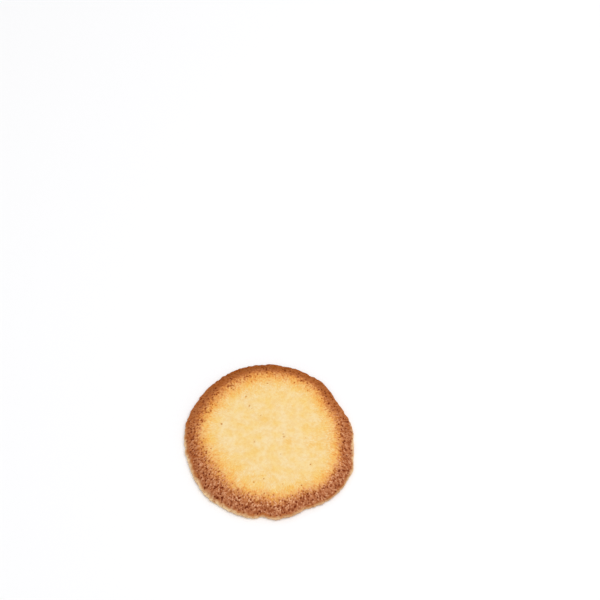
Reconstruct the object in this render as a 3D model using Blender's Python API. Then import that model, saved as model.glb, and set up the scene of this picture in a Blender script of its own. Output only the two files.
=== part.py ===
"""Almond tuile: one thin round biscuit, lying flat.

Its middle is a low, softly uneven plateau. A crumbly, pitted rim slopes down from it to a thin,
irregular edge, and the underside is flat. Lengths are metres and angles degrees; +Z is up, +Y is
the back of the biscuit, and the origin lies under the middle of its box.
"""

import math
import random

import bmesh
import bpy
from mathutils import Matrix, Vector, noise

# Plan: an oval, and the places where the outline leaves it
HALF_WIDTH = 0.0349
HALF_DEPTH = 0.0364
MEAN_RADIUS = (HALF_WIDTH + HALF_DEPTH) / 2
OUTLINE_LUMPS = (
    # (direction, half of its spread, how far it stands out)
    (30, 12, -0.0015),  # straighter stretch at the back right
    (102, 30, 0.0007),  # fuller back
    (197, 16, -0.0006),  # flatter left
    (221, 8, 0.0003),  # soft corner at the front left
    (265, 5, -0.0009),  # shallow nick in the front
    (294, 9, -0.0012),  # dip right of that nick
    (325, 20, 0.0022),  # bulge at the front right
)
# Waves of the edge: (distance from one wave to the next, height)
EDGE_WAVES = ((0.0070, 0.00030), (0.0028, 0.00025))
EDGE_WAVE_REACH = 0.0030

# Section: a rounded edge, a slope that flattens out, and a low dome
THICKNESS = 0.0056
EDGE_HEIGHT = 0.0020
EDGE_HEIGHT_CHANGE = 0.0003
EDGE_NOSE = 0.0008
EDGE_TURN_FROM = -90
EDGE_TURN_TO = 55
EDGE_STEPS = 4
RIM_WIDTH = 0.0090
RIM_WIDTH_CHANGE = 0.0015
DOME_HEIGHT = 0.0002

# Relief of the top: (wavelength, height)
PLATEAU_SWELL = (0.013, 0.00022)
RIM_CRUMB = (0.0026, 0.00034)
PLATEAU_CRUMB_SHARE = 0.12
CRUMB_FADE = (0.0085, 0.0135)

# Pits left by burst bubbles
PIT_SEED = 11
RIM_PITS = 190
PLATEAU_PITS = 7
PIT_RADIUS = (0.0006, 0.0011)
PIT_DEPTH = (0.00025, 0.00055)

# Rings of facets on the top, and how far they crowd towards the rim (1 is evenly spaced)
TOP_RINGS = 34
RING_PACKING = 0.8

CRUST_COLOUR = (0.72, 0.43, 0.155, 1.0)
CRUST_ROUGHNESS = 0.7


def smooth_step(low, high, value):
    """0 below low, 1 above high, and a smooth rise between them."""
    share = min(max((value - low) / (high - low), 0.0), 1.0)
    return share * share * (3 - 2 * share)


def outline_radius(angle):
    """Distance from the middle to the outline, without its fine waves."""
    oval = HALF_WIDTH * HALF_DEPTH / math.hypot(
        HALF_DEPTH * math.cos(angle), HALF_WIDTH * math.sin(angle)
    )
    lumps = 0.0
    for direction, spread, height in OUTLINE_LUMPS:
        turn = (math.degrees(angle) - direction + 180) % 360 - 180
        lumps += height * math.exp(-((turn / spread) ** 2))
    return oval + lumps


def edge_wave(angle):
    """How far the fine waves move the edge out or in."""
    place = MEAN_RADIUS * Vector((math.cos(angle), math.sin(angle), 0))
    return sum(height * noise.noise(place / length) for length, height in EDGE_WAVES)


def edge_height(angle):
    """Height of the thin edge, which varies a little round the biscuit."""
    place = Vector((math.cos(angle), math.sin(angle), 3.0)) * 2
    return EDGE_HEIGHT + EDGE_HEIGHT_CHANGE * noise.noise(place)


def edge_section(turn, height):
    """Inset and height of the rounded edge at a turn of its arc: -90 at the foot, 90 on top."""
    inset = EDGE_NOSE * (1 - math.cos(math.radians(turn)))
    return inset, height * (1 + math.sin(math.radians(turn))) / 2


def scatter_pits():
    """Centres, radii and depths of the pits: many on the rim, a few on the plateau."""
    chance = random.Random(PIT_SEED)
    pits = []
    for number in range(RIM_PITS + PLATEAU_PITS):
        angle = chance.uniform(0, 2 * math.pi)
        if number < RIM_PITS:
            distance = outline_radius(angle) - chance.uniform(0.0008, RIM_WIDTH + RIM_WIDTH_CHANGE)
        else:
            distance = math.sqrt(chance.random()) * (MEAN_RADIUS - RIM_WIDTH)
        centre = Vector((distance * math.cos(angle), distance * math.sin(angle)))
        size = chance.random()
        radius = PIT_RADIUS[0] + (PIT_RADIUS[1] - PIT_RADIUS[0]) * size
        depth = PIT_DEPTH[0] + (PIT_DEPTH[1] - PIT_DEPTH[0]) * size
        pits.append((centre, radius, depth))
    return pits


def pit_depth(place, pits):
    """Depth of the deepest pit at a place of the plan."""
    deepest = 0.0
    for centre, radius, depth in pits:
        distance = (place - centre).length / radius
        if distance < 1:
            deepest = max(deepest, depth * (1 - distance * distance))
    return deepest


def top_height(place, angle, inset, pits):
    """Height of the top at a place of the plan, that far in from the outline."""
    rim_start, foot = edge_section(EDGE_TURN_TO, edge_height(angle))
    rim_width = RIM_WIDTH - RIM_WIDTH_CHANGE * math.sin(angle)
    climb = min(max((inset - rim_start) / rim_width, 0.0), 1.0)
    slope = foot + (THICKNESS - DOME_HEIGHT - foot) * math.sin(climb * math.pi / 2)
    dome = DOME_HEIGHT * smooth_step(RIM_WIDTH, MEAN_RADIUS, inset)
    swell = PLATEAU_SWELL[1] * climb * noise.noise(place.to_3d() / PLATEAU_SWELL[0])
    on_rim = 1 - smooth_step(CRUMB_FADE[0], CRUMB_FADE[1], inset)
    crumb_share = PLATEAU_CRUMB_SHARE + (1 - PLATEAU_CRUMB_SHARE) * on_rim
    crumb = RIM_CRUMB[1] * crumb_share * noise.noise(place.to_3d() / RIM_CRUMB[0])
    return slope + dome + swell + crumb - pit_depth(place, pits)


def top_pattern(mesh):
    """A hexagon's fan of six triangles, cut into rings of ever more points, for the top."""
    first_corner_on_x = Matrix.Rotation(math.radians(-90), 4, "Z")
    bmesh.ops.create_circle(
        mesh, cap_ends=True, cap_tris=True, segments=6, radius=1.0, matrix=first_corner_on_x
    )
    bmesh.ops.subdivide_edges(mesh, edges=mesh.edges, cuts=TOP_RINGS - 1, use_grid_fill=True)


def ring_place(point):
    """Angle and radius share of a point of the hexagon when its rings are rounded off."""
    corner = math.pi / 3
    angle = math.atan2(point.y, point.x) % (2 * math.pi)
    side = math.floor(angle / corner)
    radius = math.hypot(point.x, point.y)
    towards_next = radius * math.sin(angle - side * corner) / math.sin(corner)
    towards_this = radius * math.cos(angle - side * corner) - towards_next * math.cos(corner)
    ring = towards_this + towards_next
    if ring == 0:
        return 0.0, 0.0
    return (side + towards_next / ring) * corner, ring ** RING_PACKING


def place_on_plan(angle, inset):
    """Place of the plan that lies in from the outline, with the edge's waves near the outline."""
    reach = 1 - smooth_step(0, EDGE_WAVE_REACH, inset)
    distance = outline_radius(angle) - inset + reach * edge_wave(angle)
    return Vector((distance * math.cos(angle), distance * math.sin(angle)))


def shape_top(mesh, pits):
    """Round off the rings and raise them to the top's height."""
    for point in mesh.verts:
        angle, share = ring_place(point.co)
        rim_start, _ = edge_section(EDGE_TURN_TO, edge_height(angle))
        inset = rim_start + (1 - share) * (outline_radius(angle) - rim_start)
        place = place_on_plan(angle, inset)
        point.co = (place.x, place.y, top_height(place, angle, inset, pits))


def border(mesh):
    """The edges on the open side of the mesh."""
    return [edge for edge in mesh.edges if edge.is_boundary]


def add_edge(mesh):
    """Carry the top round the edge to the foot, one band of facets after another."""
    for step in reversed(range(EDGE_STEPS)):
        made = bmesh.ops.extrude_edge_only(mesh, edges=border(mesh))["geom"]
        turn = EDGE_TURN_FROM + (EDGE_TURN_TO - EDGE_TURN_FROM) * step / EDGE_STEPS
        for point in made:
            if isinstance(point, bmesh.types.BMVert):
                angle = math.atan2(point.co.y, point.co.x)
                inset, height = edge_section(turn, edge_height(angle))
                point.co = (*place_on_plan(angle, inset), height)


def add_underside(mesh):
    """Close the foot with a flat fan."""
    underside = bmesh.ops.contextual_create(mesh, geom=border(mesh))["faces"]
    bmesh.ops.poke(mesh, faces=underside)


def centre_on_box(mesh):
    """Move the biscuit so that the origin lies under the middle of its box."""
    for axis in (0, 1):
        places = [point.co[axis] for point in mesh.verts]
        middle = (min(places) + max(places)) / 2
        shift = Vector((0, 0, 0))
        shift[axis] = -middle
        bmesh.ops.translate(mesh, verts=mesh.verts, vec=shift)


def make_crust():
    """Baked crust: matt, golden brown."""
    crust = bpy.data.materials.new("baked_crust")
    crust.use_nodes = True
    shader = crust.node_tree.nodes["Principled BSDF"]
    shader.inputs["Base Color"].default_value = CRUST_COLOUR
    shader.inputs["Roughness"].default_value = CRUST_ROUGHNESS
    shader.inputs["Metallic"].default_value = 0.0
    return crust


def make_tuile():
    """The biscuit: one closed solid."""
    mesh = bmesh.new()
    top_pattern(mesh)
    shape_top(mesh, scatter_pits())
    add_edge(mesh)
    add_underside(mesh)
    centre_on_box(mesh)
    bmesh.ops.recalc_face_normals(mesh, faces=mesh.faces)
    data = bpy.data.meshes.new("tuile")
    mesh.to_mesh(data)
    mesh.free()
    data.shade_smooth()
    data.materials.append(make_crust())
    tuile = bpy.data.objects.new("tuile", data)
    bpy.context.scene.collection.objects.link(tuile)
    return tuile


def clear_scene():
    """Remove whatever the scene holds."""
    for thing in list(bpy.data.objects):
        bpy.data.objects.remove(thing, do_unlink=True)


def main():
    clear_scene()
    make_tuile()


main()
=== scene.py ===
"""Visual model of one almond tuile, a thin round biscuit with a browned, porous rim.

Laid out as an add-on: the sizes and colours are properties of the scene, one operator bakes the
biscuit and one sets up the stage. Lengths are metres in the solid's own frame, with +Z up, +Y to the
back of the biscuit, and the origin under the middle of its box. A direction is in degrees, from the
right, +X, towards the back. So is a spread: that far from its middle, a bump is about a third as high.
"""

import math
import random

import bmesh
import bpy
from bpy.props import FloatProperty, FloatVectorProperty, IntProperty, PointerProperty
from bpy.types import Operator, Panel, PropertyGroup
from mathutils import Matrix, Vector, kdtree, noise


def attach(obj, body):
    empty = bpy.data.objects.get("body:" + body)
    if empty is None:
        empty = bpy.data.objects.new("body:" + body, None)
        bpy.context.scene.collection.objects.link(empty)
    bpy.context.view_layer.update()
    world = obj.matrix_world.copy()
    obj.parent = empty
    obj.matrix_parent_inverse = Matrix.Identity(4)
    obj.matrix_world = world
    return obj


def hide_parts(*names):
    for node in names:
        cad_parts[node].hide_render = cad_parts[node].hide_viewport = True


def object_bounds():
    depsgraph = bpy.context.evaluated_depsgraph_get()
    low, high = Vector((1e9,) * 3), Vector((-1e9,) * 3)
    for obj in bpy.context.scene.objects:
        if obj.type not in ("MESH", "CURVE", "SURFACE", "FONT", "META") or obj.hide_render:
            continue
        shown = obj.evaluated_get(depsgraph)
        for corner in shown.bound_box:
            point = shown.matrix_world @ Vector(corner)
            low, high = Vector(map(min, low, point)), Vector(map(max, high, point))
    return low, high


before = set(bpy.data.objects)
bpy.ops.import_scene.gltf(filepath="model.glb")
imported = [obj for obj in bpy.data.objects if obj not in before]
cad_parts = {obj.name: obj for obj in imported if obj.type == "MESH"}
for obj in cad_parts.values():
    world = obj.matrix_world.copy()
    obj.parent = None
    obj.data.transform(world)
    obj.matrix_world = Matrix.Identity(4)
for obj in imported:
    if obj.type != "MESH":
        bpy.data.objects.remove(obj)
SOLID_LOW, SOLID_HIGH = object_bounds()

bl_info = {
    "name": "Almond Tuile",
    "version": (1, 0, 0),
    "blender": (4, 5, 0),
    "location": "View3D > Sidebar > Tuile",
    "description": "Bakes one almond tuile and sets up its stage",
    "category": "Add Mesh",
}

NODE = "tuile"
BODY = "root"

# Places where the outline leaves the oval: (direction, spread, how far it stands out)
OUTLINE_LUMPS = (
    (30, 12, -0.0015),
    (102, 30, 0.0007),
    (197, 16, -0.0006),
    (221, 8, 0.0003),
    (265, 5, -0.0009),
    (294, 9, -0.0012),
    (320, 4, -0.0003),
    (325, 20, 0.0022),
    (329, 3, -0.0004),
    (336, 4, 0.0005),
)
# Waves of the edge: (distance from one wave to the next, height), and how far in they reach
EDGE_WAVES = ((0.0070, 0.00030), (0.0028, 0.00025), (0.0015, 0.00024))
EDGE_WAVE_REACH = 0.0030
# Changes of the edge's height: (wavelength, height), and a number that moves them round the biscuit
EDGE_HEIGHT_CHANGE = (0.018, 0.0003)
EDGE_HEIGHT_SEED = 3.0
# The edge is part of an arc: these turns of it, with -90 at its foot and 90 on its top
EDGE_TURN_FROM = -90
EDGE_TURN_TO = 55
EDGE_ROUGHNESS = ((0.0014, 0.00022), (0.0006, 0.00013))

# Relief of the top: (wavelength, height)
PLATEAU_SWELL = (0.013, 0.00022)
RIM_CRUMB = (0.0026, 0.00034)
# The grain, whose layers are shares of its height: (wavelength, share)
GRAINS = ((0.00095, 0.8), (0.0006, 1.0))
GRAIN_HEIGHT = 0.00015
# Crumb and grain fade between these distances from the edge, to this share of them
CRUMB_FADE = (0.0085, 0.0135)
PLATEAU_CRUMB_SHARE = 0.12
FINE_CRUMB_HEIGHT = 0.00018
# The grain ends in a smooth, ragged band along the edge, which is wider in some directions:
# (direction, spread, how much wider)
SMOOTH_BAND = (0.0002, 0.0012)
BAND_RAGGEDNESS = (0.0018, 0.0004)
WIDER_BANDS = ((205, 38, 0.0008), (262, 18, 0.0004))
# Shares of the grain and of the crumbs that the back lacks, and how they are lost towards it: from
# one cosine of the angle between a place and the back's direction to another. The crumbs' light
# specks and the grit are partly painted glints and sheen, which gather at the front, facing the light.
BACK_DIRECTION = 97
GRAIN_LOST = 0.35
GRAIN_LOST_FROM = (0.0, 1.0)
CRUMBS_LOST = 0.85
CRUMBS_LOST_FROM = (-1.0, 0.9)

# Large pits in the solid's places, where the rim has browned at least this far
PIT_BROWNING = 0.65
PIT_SEED = 11
RIM_PITS = 190
PIT_RADIUS = (0.00028, 0.00058)
PIT_DEPTH = (0.00018, 0.00042)
PIT_INSET = 0.0008
# The rim is this much wider at the front, and narrower at the back
RIM_WIDTH_CHANGE = 0.0015
# Directions with fewer pores and pits: (direction, spread, share of them that is missing)
FEWER_PORES = ((52, 34, 0.6), (105, 24, 0.3))
# Pits that stand out singly: (right, back, radius)
SINGLE_PITS = (
    (-0.0089, 0.0190, 0.00040),
    (-0.0076, 0.0145, 0.00042),
    (-0.0066, 0.0132, 0.00030),
    (-0.0059, -0.0027, 0.00032),
    (-0.0024, -0.0200, 0.00036),
    (-0.0064, -0.0215, 0.00036),
    (0.0128, -0.0235, 0.00040),
    (0.0142, 0.0263, 0.00062),
    (-0.0151, 0.0246, 0.00058),
    (-0.0163, 0.0240, 0.00046),
    (-0.0236, 0.0127, 0.00058),
    (-0.0245, 0.0120, 0.00050),
    (-0.0124, -0.0280, 0.00062),
    (-0.0138, -0.0286, 0.00050),
)
# Depth of a pore as a share of its radius
PORE_STEEPNESS = 0.8
# Pores gather in loose clusters, and their outlines are ragged: (wavelength, share)
PORE_CLUSTERS = (0.0042, 0.9)
PORE_RAGGEDNESS = (0.0005, 0.45)
# How far a pore leaves its place on an even spiral, as a share of the pores' spacing
PORE_SHAKE = 0.45
# Share of places with a pore: on the plateau, and on the rim from one browning to another
PLATEAU_PORES = 0.015
RIM_PORES = 0.95
PORES_FROM = (0.36, 0.78)
# Many small pores and few large ones
PORE_SIZES = 1.6
# Depths at which a pore starts to look dark and is darkest: its darker crust and painted shade in the
# hollow
PORE_DARKENS = (0.00004, 0.00028)

# Pits in the side of the edge, between these turns of its arc
EDGE_PITS = 420
EDGE_PIT_TURNS = (-50, 50)
EDGE_PIT_RADIUS = (0.00012, 0.00034)
EDGE_PIT_STEEPNESS = 0.7
# Depths at which an edge pit starts to look dark and is darkest: its darker crust and painted shade in
# the hollow
EDGE_PIT_DARKENS = (0.00004, 0.00020)

# Browning: half of it is lost this far in, and more in some directions: (direction, spread, share)
BROWNING_REACH = 0.0080
HOT_PLACES = (
    (112, 44, 0.18),
    (218, 38, 0.26),
    (15, 30, -0.02),
    (45, 24, -0.12),
    (178, 24, -0.10),
    (303, 36, -0.14),
)
REACH_WAVES = ((0.006, 0.10), (0.0022, 0.07), (0.0011, 0.06))
# It falls off gently on the rim and faster further in
RIM_STEEPNESS = 2.8
INNER_STEEPNESS = 4.6
STEEPER_FROM = (0.9, 1.5)
# The back is toasted darker along its edge: (direction, spread, further browning). The bump at 46
# degrees is painted shade on the back right edge, which faces away from the light.
MOST_TOAST = 0.28
TOASTED_AND_SHADED_PLACES = ((97, 42, MOST_TOAST), (46, 15, 0.10), (318, 20, 0.14))
TOAST_FADE = (0.0025, 0.0065)

# Light crumbs, partly painted glints of the sheen: the browning from which they lie there, and from
# which they thin out again
CRUMBS_FROM = (0.38, 0.70)
CRUMBS_THIN_OUT = (0.90, 0.99)
CRUMBS_THINNED = 0.40
CRUMB_CLUSTERS = (0.0022, 0.7)
# Levels of the grain that are crumbs, and that are gaps between them, which get painted shade
CRUMB_LEVELS = (-0.2, 0.4)
GAP_LEVELS = (0.05, -0.6)
# Browning from which the ground is grit, a pinkish grey that is partly painted sheen, and from which
# the crust counts as the rim
GRIT_FROM = (0.45, 0.95)
RIM_FROM = (0.35, 0.85)

# Radial streaks of the browning, and how much the grain is stretched along the radii
STREAK_WIDTH = 0.0013
STREAK_SHARE = 0.06
RAY_STRETCH = 1.3
# Soft spots of the middle: (right, back, radius, browning)
BROWN_SPOTS = (
    (0.0078, -0.0026, 0.0024, 0.18),
    (0.0174, -0.0045, 0.0022, 0.14),
    (-0.0006, 0.0007, 0.0018, 0.10),
    (0.0031, 0.0136, 0.0024, 0.09),
    (0.0033, 0.0033, 0.0016, 0.06),
    (-0.0014, 0.0082, 0.0030, 0.09),
    (-0.0120, 0.0066, 0.0024, 0.06),
    (0.0200, -0.0010, 0.0080, 0.05),
    (0.0010, -0.0190, 0.0070, 0.06),
    (-0.0093, -0.0199, 0.0045, 0.06),
    (-0.0156, -0.0156, 0.0045, 0.07),
    (-0.0199, -0.0093, 0.0045, 0.05),
)
# Stretches of the edge that are pale, partly from a paler bake and partly painted light thrown up from
# the white floor: (direction, spread, paleness)
PALE_EDGES = ((230, 25, 1.1), (187, 22, 0.80), (264, 14, 0.40), (292, 30, 0.42), (352, 34, 0.82))
PALE_ELSEWHERE = 0.05
PALE_UNEVENNESS = ((0.0035, 0.5), (0.0011, 0.5), (0.0005, 0.4))
# How far up its surface it is pale: it browns again towards the foot and towards the top, and half
# as far up where it is hardly pale
PALE_ABOVE = (-0.0008, 0.0009)
PALE_BELOW = (0.0010, 0.0034)
PALE_RAGGEDNESS = ((0.0045, 0.0008), (0.0013, 0.0005))
EDGE_BROWNING = 0.88

# Shallow dents of the underside: (wavelength, depth), and how far in from its rim they begin
UNDERSIDE_DENTS = ((0.0030, 0.00010), (0.0012, 0.00008))
UNDERSIDE_FLAT_RIM = 0.0020

# Facets: the top's rings lie closer together towards the edge, and the underside has fewer
TOP_RINGS = 159
RING_PACKING = 0.72
EDGE_STEPS = 10
UNDERSIDE_COARSENING = 3
MERGE_DISTANCE = 0.00002
GOLDEN_ANGLE = math.pi * (3 - math.sqrt(5))

# Stage
KEY_PLACE = (0.28, 0.02, 0.96)
KEY_SIZE = 0.9
FLOOR_HALF_SIDE = 6.0
# The photograph's frame: its side, the place of the biscuit's middle, and the lens in its pixels
PHOTO_SIDE = 600
MIDDLE_COLUMN = 269
MIDDLE_ROW = 438
LENS_IN_PIXELS = 1937
SENSOR_WIDTH = 36

# Sockets of a Mix node that mixes colours
MIX_SHARE = 0
MIX_LOWER = 6
MIX_UPPER = 7
MIX_RESULT = 2

# What the mesh's points carry for the material, each from 0 to 1 or a little more
LOOKS = ("browning", "grit_and_sheen", "crumb", "gap", "pale_pore_crust_and_shade", "dark_pore_crust_and_shade", "pale_edge_and_bounce_light", "underside")


def linear(hex_code):
    """An sRGB hex value as linear red, green and blue."""
    channels = [int(hex_code[i : i + 2], 16) / 255 for i in (1, 3, 5)]
    return tuple(c / 12.92 if c <= 0.04045 else ((c + 0.055) / 1.055) ** 2.4 for c in channels)


def length_property(name, description, default):
    """A length in metres that the user can change."""
    return FloatProperty(
        name=name, description=description, default=default, min=0.0, unit="LENGTH", precision=5
    )


def colour_property(name, description, hex_code):
    """A colour that the user can change."""
    return FloatVectorProperty(
        name=name,
        description=description,
        default=linear(hex_code),
        subtype="COLOR",
        size=3,
        min=0.0,
        max=1.0,
    )


class TuileForm(PropertyGroup):
    """Sizes of the biscuit."""

    half_width: length_property("Half width", "Middle to the left or right of the oval", 0.0349)
    half_depth: length_property("Half depth", "Middle to the front or back of the oval", 0.0364)
    thickness: length_property("Thickness", "Height of the plateau above the table", 0.0056)
    edge_height: length_property("Edge height", "Thickness of the biscuit at its edge", 0.0020)
    edge_nose: length_property("Edge nose", "How far the rounded edge stands out", 0.0008)
    rim_width: length_property("Rim width", "Width of the slope from edge to plateau", 0.0090)
    dome_height: length_property("Dome height", "Rise of the plateau towards its middle", 0.0002)
    pore_spacing: length_property("Pore spacing", "Distance between pores on the rim", 0.00100)
    smallest_pore: length_property("Smallest pore", "Radius of the smallest pores", 0.00018)
    largest_pore: length_property("Largest pore", "Radius of the largest pores", 0.00046)
    pore_seed: IntProperty(name="Pore seed", description="Another seed moves the pores", default=5)


class TuileCrust(PropertyGroup):
    """Colours of the crust, from the pale middle to the dark rim, with painted glints, sheen and shade
    among them.
    """

    pale: colour_property("Pale", "Middle, which hardly browned", "#EDD5A3")
    butter: colour_property("Butter", "Where browning begins", "#ECC682")
    golden: colour_property("Golden", "Inner side of the rim", "#ECB874")
    tan: colour_property("Tan", "Halfway down the rim", "#DE9856")
    brown: colour_property("Brown", "Lower half of the rim", "#BC7440")
    dark: colour_property("Dark brown", "Just above the edge", "#AC6634")
    toasted: colour_property("Toasted", "Darkest, at the edge of the back", "#9A520C")
    # The grit's pinkish grey ground is partly painted sheen, laid mostly at the front
    grit_and_sheen: colour_property("Grit", "Ground of the grainy part of the rim", "#B06C4C")
    # Specks and pale specks are partly light crumbs and partly painted glints of the sheen
    speck_and_glint: colour_property("Specks", "Light crumbs between the pores", "#DEA078")
    pale_speck_and_glint: colour_property("Pale specks", "Few, palest crumbs", "#F2C296")
    # The pale edge is partly a paler bake and partly painted light thrown up from the floor
    edge: colour_property("Edge", "Stretch of the edge that stayed pale", "#FCDEAE")
    underside: colour_property("Underside", "Where it lay on the baking sheet", "#C68A50")
    patch: colour_property("Patch", "Tint of the soft patches of the middle", "#FFF3CC")
    mottle: colour_property("Mottle", "Tint of the finer mottling of the middle", "#FBF1E2")
    # The pore colours darken the hollows: darker crust and painted shade
    pale_pore_crust_and_shade: colour_property("Pale pore", "Shade of a pore in the golden part", "#D0A06C")
    # Painted shade in the gaps between the grains of the rim
    gap: colour_property("Gap", "Shade of the gaps between the grains of the rim", "#DCC6B2")
    brown_pore_crust_and_shade: colour_property("Brown pore", "Shade of a pore in the rim", "#AE703C")


class TuileStage(PropertyGroup):
    """Floor, light and camera."""

    floor_colour: colour_property("Floor", "Plain pale floor", "#F4F4F5")
    surround: FloatProperty(
        name="Surround", description="Strength of the even white light", default=0.72, min=0.0
    )
    key_power: FloatProperty(
        name="Key", description="Power of the large soft light", default=5.3, min=0.0, unit="POWER"
    )
    elevation: FloatProperty(
        name="Elevation",
        description="Angle at which the camera looks down on the biscuit",
        default=math.radians(60),
        subtype="ANGLE",
    )
    distance: length_property("Distance", "Camera to the middle of the biscuit", 0.796)


def smooth_step(low, high, value):
    """0 below low, 1 above high, and a smooth rise between them."""
    share = min(max((value - low) / (high - low), 0.0), 1.0)
    return share * share * (3 - 2 * share)


def bumps(angle, places):
    """Sum of the soft bumps round the biscuit, each with its direction, spread and height."""
    total = 0.0
    for direction, spread, height in places:
        away = (math.degrees(angle) - direction + 180) % 360 - 180
        total += height * math.exp(-((away / spread) ** 2))
    return total


def outline_radius(form, angle):
    """Distance from the middle to the outline, without its fine waves."""
    oval = form.half_width * form.half_depth / math.hypot(
        form.half_depth * math.cos(angle), form.half_width * math.sin(angle)
    )
    return oval + bumps(angle, OUTLINE_LUMPS)


def mean_radius(form):
    """Mean of the oval's half width and half depth."""
    return (form.half_width + form.half_depth) / 2


def layered_noise(place, layers):
    """Sum of noises, each with its own wavelength and height."""
    return sum(height * noise.noise(place / length) for length, height in layers)


def edge_wave(form, angle):
    """How far the fine waves move the edge out or in."""
    place = mean_radius(form) * Vector((math.cos(angle), math.sin(angle), 0))
    return layered_noise(place, EDGE_WAVES)


def edge_height(form, angle):
    """Height of the thin edge, which varies a little round the biscuit."""
    place = mean_radius(form) * Vector((math.cos(angle), math.sin(angle), EDGE_HEIGHT_SEED))
    return form.edge_height + layered_noise(place, (EDGE_HEIGHT_CHANGE,))


def edge_section(form, turn, height):
    """Inset and height of the rounded edge at a turn of its arc: -90 at the foot, 90 on top."""
    inset = form.edge_nose * (1 - math.cos(math.radians(turn)))
    return inset, height * (1 + math.sin(math.radians(turn))) / 2


def place_on_plan(form, angle, inset):
    """Place of the plan that lies in from the outline, with the edge's waves near the outline."""
    reach = 1 - smooth_step(0, EDGE_WAVE_REACH, inset)
    distance = outline_radius(form, angle) - inset + reach * edge_wave(form, angle)
    return Vector((distance * math.cos(angle), distance * math.sin(angle), 0))


def toast(angle, inset):
    """Further browning along the edge of the back, that far in, with painted shade on the back right
    edge.
    """
    return bumps(angle, TOASTED_AND_SHADED_PLACES) * (1 - smooth_step(*TOAST_FADE, inset))


def left_at_back(angle, lost, lost_from):
    """Share of the grain or of the crumbs that is left in this direction."""
    return 1 - lost * smooth_step(*lost_from, math.cos(angle - math.radians(BACK_DIRECTION)))


def browning_at(place, angle, inset):
    """How far the crust has browned, from 0 in the middle to 1 at the edge."""
    reach = BROWNING_REACH * (1 + bumps(angle, HOT_PLACES))
    reach *= 1 + layered_noise(place, REACH_WAVES)
    outwards = Vector((math.cos(angle), math.sin(angle), 0)) * SOLID_HIGH.x
    reach *= 1 + STREAK_SHARE * noise.noise(outwards / STREAK_WIDTH)
    distance = max(inset, 0.0) / reach
    steeper = smooth_step(*STEEPER_FROM, distance)
    steepness = RIM_STEEPNESS + (INNER_STEEPNESS - RIM_STEEPNESS) * steeper
    browning = 1 / (1 + distance ** steepness)
    for right, back, radius, share in BROWN_SPOTS:
        away = (place - Vector((right, back, 0))).length / radius
        browning += share * math.exp(-away * away)
    return min(browning, 1.0) + toast(angle, inset)


def ray_place(form, angle, inset):
    """A place on which noise is stretched along the biscuit's radii, as the batter ran outwards."""
    radius = mean_radius(form)
    return Vector((radius * math.cos(angle), radius * math.sin(angle), inset / RAY_STRETCH))


def graininess(place, angle, inset):
    """Share of the grain, which is weaker at the back and ends in a smooth band along the edge."""
    ragged = layered_noise(place, (BAND_RAGGEDNESS,)) - bumps(angle, WIDER_BANDS)
    band = smooth_step(*SMOOTH_BAND, inset + ragged)
    return band * left_at_back(angle, GRAIN_LOST, GRAIN_LOST_FROM)


def crumb_and_glint_share(place, angle, browning):
    """Share of light crumbs, which are partly painted glints: on the rim, mostly at the front where the
    sheen falls, in loose clusters.
    """
    share = smooth_step(*CRUMBS_FROM, browning)
    share *= 1 - CRUMBS_THINNED * smooth_step(*CRUMBS_THIN_OUT, browning)
    share *= left_at_back(angle, CRUMBS_LOST, CRUMBS_LOST_FROM)
    return share * (1 + layered_noise(place, (CRUMB_CLUSTERS,)))


def edge_paleness_and_bounce_light(place, angle, climb):
    """How pale the edge is at a place where its surface has climbed that far from its foot: partly a
    paler bake, partly painted light thrown up from the floor.
    """
    paleness = min(PALE_ELSEWHERE + bumps(angle, PALE_EDGES), 1.0)
    uneven = 1 + layered_noise(Vector((place.x, place.y, climb)), PALE_UNEVENNESS)
    ragged = climb + layered_noise(Vector((place.x, place.y, 0)), PALE_RAGGEDNESS)
    fade = smooth_step(*PALE_ABOVE, ragged)
    fade *= 1 - smooth_step(*PALE_BELOW, 2 * ragged / (1 + paleness))
    return paleness * min(max(uneven, 0.0), 1.0) * fade


def large_pits(form):
    """Places, radii and depths of the large pits: many on the rim, and the single ones."""
    chance = random.Random(PIT_SEED)
    pits = []
    for _ in range(RIM_PITS):
        angle = chance.uniform(0, 2 * math.pi)
        inset = chance.uniform(PIT_INSET, form.rim_width + RIM_WIDTH_CHANGE)
        distance = outline_radius(form, angle) - inset
        place = Vector((distance * math.cos(angle), distance * math.sin(angle), 0))
        size = chance.random()
        if size < bumps(angle, FEWER_PORES) or browning_at(place, angle, inset) < PIT_BROWNING:
            continue
        size *= graininess(place, angle, inset)
        radius = PIT_RADIUS[0] + (PIT_RADIUS[1] - PIT_RADIUS[0]) * size
        pits.append((place, radius, PIT_DEPTH[0] + (PIT_DEPTH[1] - PIT_DEPTH[0]) * size))
    for right, back, radius in SINGLE_PITS:
        pits.append((Vector((right, back, 0)), radius, radius * PORE_STEEPNESS))
    return pits


def small_pores(form):
    """Pores on an even spiral, shaken a little: dense on the brown rim, almost none on the plateau."""
    chance = random.Random(form.pore_seed)
    cell = form.pore_spacing ** 2
    total = int(math.pi * form.half_width * form.half_depth / cell)
    pores = []
    for number in range(total):
        angle = number * GOLDEN_ANGLE
        distance = math.sqrt((number + 0.5) / total) * outline_radius(form, angle)
        place = Vector((distance * math.cos(angle), distance * math.sin(angle), 0))
        shake = form.pore_spacing * PORE_SHAKE
        place += Vector((chance.uniform(-shake, shake), chance.uniform(-shake, shake), 0))
        inset = outline_radius(form, angle) - distance
        browning = browning_at(place, angle, inset)
        size = chance.random() ** PORE_SIZES
        share = PLATEAU_PORES + RIM_PORES * smooth_step(*PORES_FROM, browning)
        share *= 1 + layered_noise(place, (PORE_CLUSTERS,))
        share *= 1 - bumps(angle, FEWER_PORES)
        if chance.random() < share * graininess(place, angle, inset):
            radius = form.smallest_pore + (form.largest_pore - form.smallest_pore) * size
            pores.append((place, radius, radius * PORE_STEEPNESS))
    return pores


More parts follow.
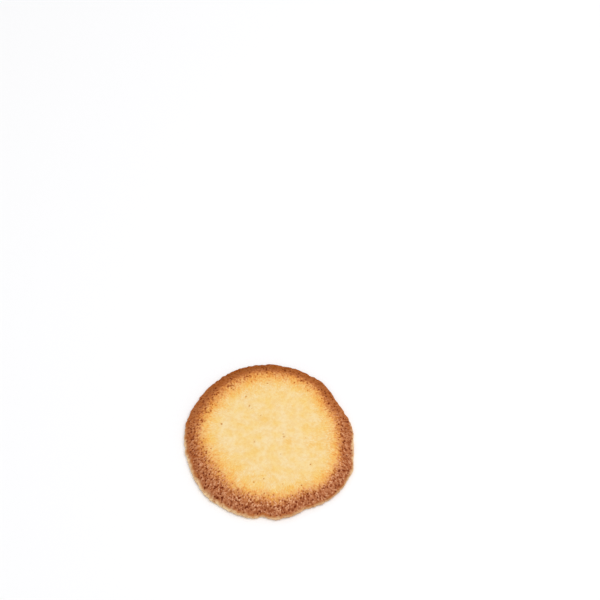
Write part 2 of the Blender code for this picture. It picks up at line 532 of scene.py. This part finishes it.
def edge_pits(form):
    """Pits in the side of the edge."""
    chance = random.Random(form.pore_seed + 1)
    pits = []
    for _ in range(EDGE_PITS):
        angle = chance.uniform(0, 2 * math.pi)
        turn = chance.uniform(*EDGE_PIT_TURNS)
        inset, height = edge_section(form, turn, edge_height(form, angle))
        place = place_on_plan(form, angle, inset)
        place.z = height
        radius = chance.uniform(*EDGE_PIT_RADIUS)
        pits.append((place, radius, radius * EDGE_PIT_STEEPNESS))
    return pits


class PoreField:
    """Finds how deep the pores reach at a place of the plan."""

    def __init__(self, pores):
        self.pores = pores
        self.reach = max(radius for _, radius, _ in pores) / (1 - PORE_RAGGEDNESS[1])
        self.tree = kdtree.KDTree(len(pores))
        for number, (place, _, _) in enumerate(pores):
            self.tree.insert(place, number)
        self.tree.balance()

    def depth(self, place):
        """Depth of the deepest pore here, in metres."""
        ragged = 1 + layered_noise(place, (PORE_RAGGEDNESS,))
        deepest = 0.0
        for _, number, distance in self.tree.find_range(place, self.reach):
            _, radius, depth = self.pores[number]
            share = distance * ragged / radius
            if share < 1:
                deepest = max(deepest, depth * (1 - share * share))
        return deepest


def top_height(form, place, angle, inset):
    """Height of the top without its pores, that far in from the outline."""
    rim_start, foot = edge_section(form, EDGE_TURN_TO, edge_height(form, angle))
    rim_width = form.rim_width - RIM_WIDTH_CHANGE * math.sin(angle)
    climb = min(max((inset - rim_start) / rim_width, 0.0), 1.0)
    slope = foot + (form.thickness - form.dome_height - foot) * math.sin(climb * math.pi / 2)
    dome = form.dome_height * smooth_step(form.rim_width, mean_radius(form), inset)
    swell = climb * layered_noise(place, (PLATEAU_SWELL,))
    on_rim = 1 - smooth_step(*CRUMB_FADE, inset)
    crumb_share = PLATEAU_CRUMB_SHARE + (1 - PLATEAU_CRUMB_SHARE) * on_rim
    crumb = crumb_share * layered_noise(place, (RIM_CRUMB,))
    grain_height = GRAIN_HEIGHT * crumb_share * graininess(place, angle, inset)
    grain = grain_height * layered_noise(ray_place(form, angle, inset), GRAINS)
    return slope + dome + swell + crumb + grain


def hexagon_fan(mesh, rings):
    """A hexagon's fan of six triangles in an empty mesh, cut into rings of ever more points."""
    first_corner_on_x = Matrix.Rotation(math.radians(-90), 4, "Z")
    bmesh.ops.create_circle(
        mesh, cap_ends=True, cap_tris=True, segments=6, radius=1.0, matrix=first_corner_on_x
    )
    bmesh.ops.subdivide_edges(mesh, edges=mesh.edges[:], cuts=rings - 1, use_grid_fill=True)


def ring_place(point, packing):
    """Angle and radius share of a point of the hexagon when its rings are rounded off."""
    corner = math.pi / 3
    angle = math.atan2(point.y, point.x) % (2 * math.pi)
    side = math.floor(angle / corner)
    radius = math.hypot(point.x, point.y)
    towards_next = radius * math.sin(angle - side * corner) / math.sin(corner)
    towards_this = radius * math.cos(angle - side * corner) - towards_next * math.cos(corner)
    ring = towards_this + towards_next
    if ring == 0:
        return 0.0, 0.0
    return (side + towards_next / ring) * corner, ring ** packing


def border(mesh):
    """The edges on the open side of the mesh."""
    return [edge for edge in mesh.edges if edge.is_boundary]


def shape_top(form, mesh, pores, looks):
    """Round off the rings, raise them to the top's height and sink the pores."""
    for point in mesh.verts:
        angle, share = ring_place(point.co, RING_PACKING)
        outline = outline_radius(form, angle)
        rim_start, _ = edge_section(form, EDGE_TURN_TO, edge_height(form, angle))
        inset = rim_start + (1 - share) * (outline - rim_start)
        place = place_on_plan(form, angle, inset)
        depth = pores.depth(place)
        point.co = (place.x, place.y, top_height(form, place, angle, inset) - depth)
        browning = browning_at(place, angle, inset)
        on_rim = smooth_step(*RIM_FROM, browning)
        pore_crust_and_shade = smooth_step(*PORE_DARKENS, depth)
        along_rays = ray_place(form, angle, inset)
        grain = layered_noise(along_rays, GRAINS)
        graininess_here = graininess(place, angle, inset)
        crumbs = crumb_and_glint_share(place, angle, browning) * graininess_here
        point[looks["ray"]] = along_rays
        point[looks["browning"]] = browning
        grit_and_sheen = graininess_here * left_at_back(angle, CRUMBS_LOST, CRUMBS_LOST_FROM)
        point[looks["grit_and_sheen"]] = grit_and_sheen * smooth_step(*GRIT_FROM, browning)
        # Crumbs carry painted glints, pores and gaps carry painted shade, and the pale edge painted
        # light from the floor
        point[looks["crumb"]] = smooth_step(*CRUMB_LEVELS, grain) * crumbs
        point[looks["pale_edge_and_bounce_light"]] = edge_paleness_and_bounce_light(place, angle, form.edge_height + inset - rim_start)
        point[looks["gap"]] = smooth_step(*GAP_LEVELS, grain) * on_rim * graininess_here
        point[looks["pale_pore_crust_and_shade"]] = pore_crust_and_shade * (1 - on_rim)
        point[looks["dark_pore_crust_and_shade"]] = pore_crust_and_shade * on_rim


def add_edge(form, mesh, looks):
    """Carry the top round the edge to the foot, one band of facets after another."""
    pits = PoreField(edge_pits(form))
    for step in reversed(range(EDGE_STEPS)):
        made = bmesh.ops.extrude_edge_only(mesh, edges=border(mesh))["geom"]
        turn = EDGE_TURN_FROM + (EDGE_TURN_TO - EDGE_TURN_FROM) * step / EDGE_STEPS
        for point in made:
            if not isinstance(point, bmesh.types.BMVert):
                continue
            angle = math.atan2(point.co.y, point.co.x)
            inset, height = edge_section(form, turn, edge_height(form, angle))
            place = place_on_plan(form, angle, inset)
            place.z = height
            depth = pits.depth(place)
            crumbs = layered_noise(place, EDGE_ROUGHNESS) * math.cos(math.radians(turn))
            point.co = place + place.to_2d().normalized().to_3d() * (crumbs - depth)
            point[looks["ray"]] = ray_place(form, angle, height - form.edge_height)
            point[looks["browning"]] = EDGE_BROWNING + toast(angle, inset)
            point[looks["pale_edge_and_bounce_light"]] = edge_paleness_and_bounce_light(place, angle, height)
            # Darker crust and painted shade in the edge's pits
            point[looks["pale_pore_crust_and_shade"]] = smooth_step(*EDGE_PIT_DARKENS, depth)
            for name in ("grit_and_sheen", "crumb", "gap", "dark_pore_crust_and_shade"):
                point[looks[name]] = 0.0


def add_looks(mesh):
    """The layers that hold how far each point is browned, porous and so on, by name."""
    looks = {name: mesh.verts.layers.float.new(name) for name in LOOKS}
    looks["ray"] = mesh.verts.layers.float_vector.new("ray")
    return looks


def make_underside(form):
    """The underside as a mesh of its own, whose border has the same points as the edge's foot."""
    underside = bmesh.new()
    looks = add_looks(underside)
    hexagon_fan(underside, TOP_RINGS // UNDERSIDE_COARSENING)
    bmesh.ops.subdivide_edges(underside, edges=border(underside), cuts=UNDERSIDE_COARSENING - 1)
    for point in underside.verts:
        angle, share = ring_place(point.co, 1.0)
        outline = outline_radius(form, angle)
        foot, _ = edge_section(form, EDGE_TURN_FROM, edge_height(form, angle))
        inset = foot + (1 - share) * (outline - foot)
        place = place_on_plan(form, angle, inset)
        dents = layered_noise(place, UNDERSIDE_DENTS)
        fade = smooth_step(foot, foot + UNDERSIDE_FLAT_RIM, inset)
        point.co = (place.x, place.y, fade * max(dents, 0.0))
        point[looks["ray"]] = ray_place(form, angle, inset)
        point[looks["browning"]] = browning_at(place, angle, inset)
        point[looks["underside"]] = 1.0
    bmesh.ops.triangulate(underside, faces=underside.faces)
    data = bpy.data.meshes.new("tuile_underside")
    underside.to_mesh(data)
    underside.free()
    return data


def fit_into_solid(mesh):
    """Centre the biscuit on the solid's box and keep it from standing out of it."""
    places = [point.co for point in mesh.verts]
    low = Vector([min(place[axis] for place in places) for axis in range(3)])
    high = Vector([max(place[axis] for place in places) for axis in range(3)])
    middle = (low + high) / 2
    solid_middle = (SOLID_LOW + SOLID_HIGH) / 2
    share = [(SOLID_HIGH[axis] - SOLID_LOW[axis]) / (high[axis] - low[axis]) for axis in range(3)]
    for point in mesh.verts:
        for axis in range(3):
            point.co[axis] = solid_middle[axis] + (point.co[axis] - middle[axis]) * share[axis]


def add_node(tree, kind, settings, links=None, output=0):
    """Add a node with its settings and links, and return one of its outputs.

    A setting named for no socket of the node is one of its properties.
    """
    node = tree.nodes.new(kind)
    for name, value in settings.items():
        if isinstance(name, int) or name in node.inputs:
            node.inputs[name].default_value = value
        else:
            setattr(node, name, value)
    for name, source in (links or {}).items():
        tree.links.new(source, node.inputs[name])
    return node.outputs[output]


def baked_crust(crust):
    """Baked butter dough, whose rim browned most: matt, uneven from grain to grain, with light sugar
    crumbs that also carry painted glints and sheen, dark burst bubbles and grain gaps that carry
    painted shade, and a pale edge, partly a paler bake and partly painted light from the floor.
    """
    material = bpy.data.materials.new("baked_crust")
    material.use_nodes = True
    tree = material.node_tree
    shader = tree.nodes["Principled BSDF"]
    shader.inputs["IOR"].default_value = 1.45
    shader.inputs["Specular IOR Level"].default_value = 0.06
    place = add_node(tree, "ShaderNodeTexCoord", {}, output="Object")
    ray = add_node(tree, "ShaderNodeAttribute", {"attribute_name": "ray"}, output="Vector")
    shares = {}
    for name in LOOKS:
        shares[name] = add_node(tree, "ShaderNodeAttribute", {"attribute_name": name}, output="Fac")
    # Noises: (name, source, width of their patches in millimetres, detail). Sugar and almond grains are
    # 0.1 to 0.3 mm wide, too fine to show, so they are drawn 0.35 to 0.7 mm wide.
    for name, source, millimetres, detail in (
        ("grain", ray, 0.7, 3.0),
        ("patch", place, 4.4, 1.5),
        ("mottle", place, 1.2, 2.0),
        ("speck_and_glint", place, 0.55, 1.0),
        ("pale_speck_and_glint", place, 0.47, 1.0),
        ("fine_crumb", place, 0.35, 3.0),
    ):
        settings = {"Scale": 1000 / millimetres, "Detail": detail, "Roughness": 0.55}
        shares[name] = add_node(tree, "ShaderNodeTexNoise", settings, {"Vector": source})
    # What part of each noise or share counts, and as how much: (name, source, low, high, least, most)
    for name, source, low, high, least, most in (
        ("unevenness", "grain", 0.33, 0.67, -0.25, 0.25),
        ("liveliness", "browning", 0.06, 0.32, 0.45, 1.0),
        ("calm", "browning", 0.65, 0.90, 1.0, 0.5),
        ("patch", "patch", 0.34, 0.68, 0.0, 1.0),
        ("mottle", "mottle", 0.40, 0.62, 0.0, 0.8),
        ("grit_and_sheen", "grit_and_sheen", 0.0, 1.0, 0.0, 0.6),
        ("speck_and_glint", "speck_and_glint", 0.44, 0.58, 0.0, 1.0),
        ("pale_speck_and_glint", "pale_speck_and_glint", 0.56, 0.67, 0.0, 1.0),
        ("roughness", "grain", 0.3, 0.7, 0.62, 0.82),
        ("bumpiness", "browning", 0.2, 0.7, 0.25, 0.9),
    ):
        settings = {"From Min": low, "From Max": high, "To Min": least, "To Max": most}
        shares[name] = add_node(tree, "ShaderNodeMapRange", settings, {"Value": shares[source]})
    # Light specks, partly crumbs and partly painted glints, lie on the crumbs alone
    for name in ("speck_and_glint", "pale_speck_and_glint"):
        links = {0: shares[name], 1: shares["crumb"]}
        shares[name] = add_node(tree, "ShaderNodeMath", {"operation": "MULTIPLY"}, links)
    # The browning is most uneven halfway down the rim
    uneven = shares["unevenness"]
    for name in ("liveliness", "calm"):
        links = {0: uneven, 1: shares[name]}
        uneven = add_node(tree, "ShaderNodeMath", {"operation": "MULTIPLY"}, links)
    links = {0: shares["browning"], 1: uneven}
    browned = add_node(tree, "ShaderNodeMath", {"operation": "ADD"}, links)
    links = {0: browned}
    browned = add_node(tree, "ShaderNodeMath", {"operation": "DIVIDE", 1: 1 + MOST_TOAST}, links)
    colour = add_node(tree, "ShaderNodeValToRGB", {}, {"Fac": browned})
    elements = colour.node.color_ramp.elements
    stops = (
        (0.03, crust.pale),
        (0.20, crust.butter),
        (0.38, crust.golden),
        (0.54, crust.tan),
        (0.68, crust.brown),
        (0.80, crust.dark),
        (1.0, crust.toasted),
    )
    while len(elements) < len(stops):
        elements.new(0.5)
    for element, (position, shade) in zip(elements, stops):
        element.position = position
        element.color = (*shade, 1.0)
    # Colours laid over the browning, one after another: (share, way of mixing, colour)
    for name, way, tint in (
        ("patch", "MULTIPLY", crust.patch),
        ("mottle", "MULTIPLY", crust.mottle),
        # Grit: the grain's own ground and painted sheen
        ("grit_and_sheen", "MIX", crust.grit_and_sheen),
        # Specks: light crumbs and painted glints
        ("speck_and_glint", "MIX", crust.speck_and_glint),
        ("pale_speck_and_glint", "MIX", crust.pale_speck_and_glint),
        # Pale edge: a paler bake and painted light from the floor
        ("pale_edge_and_bounce_light", "MIX", crust.edge),
        ("underside", "MIX", crust.underside),
        # Pores: darker crust and painted shade
        ("pale_pore_crust_and_shade", "MULTIPLY", crust.pale_pore_crust_and_shade),
        ("dark_pore_crust_and_shade", "MULTIPLY", crust.brown_pore_crust_and_shade),
        # Painted shade in the gaps between the grains
        ("gap", "MULTIPLY", crust.gap),
    ):
        settings = {"data_type": "RGBA", "blend_type": way, MIX_UPPER: (*tint, 1.0)}
        links = {MIX_SHARE: shares[name], MIX_LOWER: colour}
        colour = add_node(tree, "ShaderNodeMix", settings, links, MIX_RESULT)
    tree.links.new(colour, shader.inputs["Base Color"])
    tree.links.new(shares["roughness"], shader.inputs["Roughness"])
    # Crumb too fine for the mesh
    links = {"Strength": shares["bumpiness"], "Height": shares["fine_crumb"]}
    bump = add_node(tree, "ShaderNodeBump", {"Distance": FINE_CRUMB_HEIGHT}, links)
    tree.links.new(bump, shader.inputs["Normal"])
    return material


class TUILE_OT_bake_biscuit(Operator):
    """Bake the biscuit in the place of its solid"""

    bl_idname = "tuile.bake_biscuit"
    bl_label = "Bake Biscuit"
    bl_options = {"REGISTER", "UNDO"}

    def execute(self, context):
        form = context.scene.tuile_form
        pores = PoreField(large_pits(form) + small_pores(form))
        mesh = bmesh.new()
        looks = add_looks(mesh)
        hexagon_fan(mesh, TOP_RINGS)
        shape_top(form, mesh, pores, looks)
        add_edge(form, mesh, looks)
        underside = make_underside(form)
        mesh.from_mesh(underside)
        bpy.data.meshes.remove(underside)
        bmesh.ops.remove_doubles(mesh, verts=mesh.verts, dist=MERGE_DISTANCE)
        fit_into_solid(mesh)
        bmesh.ops.recalc_face_normals(mesh, faces=mesh.faces)
        data = bpy.data.meshes.new("tuile_biscuit")
        mesh.to_mesh(data)
        open_edges = sum(1 for edge in mesh.edges if edge.is_boundary)
        mesh.free()
        if open_edges:
            raise RuntimeError(f"the biscuit has {open_edges} open edges")
        data.shade_smooth()
        data.materials.append(baked_crust(context.scene.tuile_crust))
        biscuit = bpy.data.objects.new("tuile_biscuit", data)
        context.scene.collection.objects.link(biscuit)
        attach(biscuit, BODY)
        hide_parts(NODE)
        return {"FINISHED"}


def white_surround(stage):
    """Even white light from all sides, as in a light tent."""
    world = bpy.data.worlds.new("light_tent")
    world.use_nodes = True
    background = world.node_tree.nodes["Background"]
    background.inputs["Color"].default_value = (1.0, 1.0, 1.0, 1.0)
    background.inputs["Strength"].default_value = stage.surround
    return world


def pale_floor(stage):
    """A wide floor of white painted board, too matt to mirror the biscuit."""
    mesh = bmesh.new()
    bmesh.ops.create_grid(mesh, x_segments=1, y_segments=1, size=FLOOR_HALF_SIDE)
    data = bpy.data.meshes.new("floor")
    mesh.to_mesh(data)
    mesh.free()
    paint = bpy.data.materials.new("matt_white_board")
    paint.use_nodes = True
    shader = paint.node_tree.nodes["Principled BSDF"]
    shader.inputs["Base Color"].default_value = (*stage.floor_colour, 1.0)
    shader.inputs["Roughness"].default_value = 0.9
    data.materials.append(paint)
    return bpy.data.objects.new("floor", data)


def soft_light(name, place, size, power):
    """A large square light that faces the biscuit."""
    lamp = bpy.data.lights.new(name, "AREA")
    lamp.shape = "SQUARE"
    lamp.size = size
    lamp.energy = power
    light = bpy.data.objects.new(name, lamp)
    light.location = place
    light.rotation_euler = (-Vector(place)).to_track_quat("-Z", "Y").to_euler()
    return light


def camera_turn(stage):
    """Turn of the camera that puts the biscuit's middle on its pixel, with the camera held level."""
    ray = Vector((MIDDLE_COLUMN - PHOTO_SIDE / 2, PHOTO_SIDE / 2 - MIDDLE_ROW, -LENS_IN_PIXELS))
    ray.normalize()
    upright = math.hypot(ray.y, ray.z)
    below_level = math.asin(-math.sin(stage.elevation) / upright)
    tilt = below_level - math.atan2(ray.z, ray.y)
    yaw = math.atan2(ray.x, upright * math.cos(below_level))
    return Matrix.Rotation(yaw, 4, "Z") @ Matrix.Rotation(tilt, 4, "X")


def photo_camera(stage):
    """The camera at the photograph's angle, with the biscuit where the photograph has it."""
    lens = bpy.data.cameras.new("camera")
    lens.sensor_width = SENSOR_WIDTH
    lens.lens = LENS_IN_PIXELS / PHOTO_SIDE * SENSOR_WIDTH
    lens.clip_start = 0.01
    lens.clip_end = 50.0
    camera = bpy.data.objects.new("camera", lens)
    middle = Vector((0, 0, (SOLID_LOW.z + SOLID_HIGH.z) / 2))
    back = Vector((0, -math.cos(stage.elevation), math.sin(stage.elevation)))
    camera.matrix_world = Matrix.Translation(middle + back * stage.distance) @ camera_turn(stage)
    return camera


class TUILE_OT_set_stage(Operator):
    """Set up the floor, the soft light and the camera"""

    bl_idname = "tuile.set_stage"
    bl_label = "Set Stage"
    bl_options = {"REGISTER", "UNDO"}

    def execute(self, context):
        scene = context.scene
        stage = scene.tuile_stage
        scene.world = white_surround(stage)
        floor = pale_floor(stage)
        key = soft_light("key_light", KEY_PLACE, KEY_SIZE, stage.key_power)
        camera = photo_camera(stage)
        for thing in (floor, key, camera):
            scene.collection.objects.link(thing)
        scene.camera = camera
        scene.view_settings.view_transform = "Standard"
        return {"FINISHED"}


class TUILE_PT_panel(Panel):
    """Sizes, colours and steps of the almond tuile"""

    bl_idname = "TUILE_PT_panel"
    bl_label = "Almond Tuile"
    bl_space_type = "VIEW_3D"
    bl_region_type = "UI"
    bl_category = "Tuile"

    def draw(self, context):
        scene = context.scene
        for group in (scene.tuile_form, scene.tuile_crust, scene.tuile_stage):
            box = self.layout.box()
            for name in group.__annotations__:
                box.prop(group, name)
        self.layout.operator(TUILE_OT_bake_biscuit.bl_idname)
        self.layout.operator(TUILE_OT_set_stage.bl_idname)


CLASSES = (TuileForm, TuileCrust, TuileStage, TUILE_OT_bake_biscuit, TUILE_OT_set_stage, TUILE_PT_panel)


def register():
    for made in CLASSES:
        bpy.utils.register_class(made)
    bpy.types.Scene.tuile_form = PointerProperty(type=TuileForm)
    bpy.types.Scene.tuile_crust = PointerProperty(type=TuileCrust)
    bpy.types.Scene.tuile_stage = PointerProperty(type=TuileStage)


def unregister():
    del bpy.types.Scene.tuile_stage
    del bpy.types.Scene.tuile_crust
    del bpy.types.Scene.tuile_form
    for made in reversed(CLASSES):
        bpy.utils.unregister_class(made)


def main():
    register()
    bpy.ops.tuile.bake_biscuit()
    bpy.ops.tuile.set_stage()


if __name__ == "__main__":
    main()
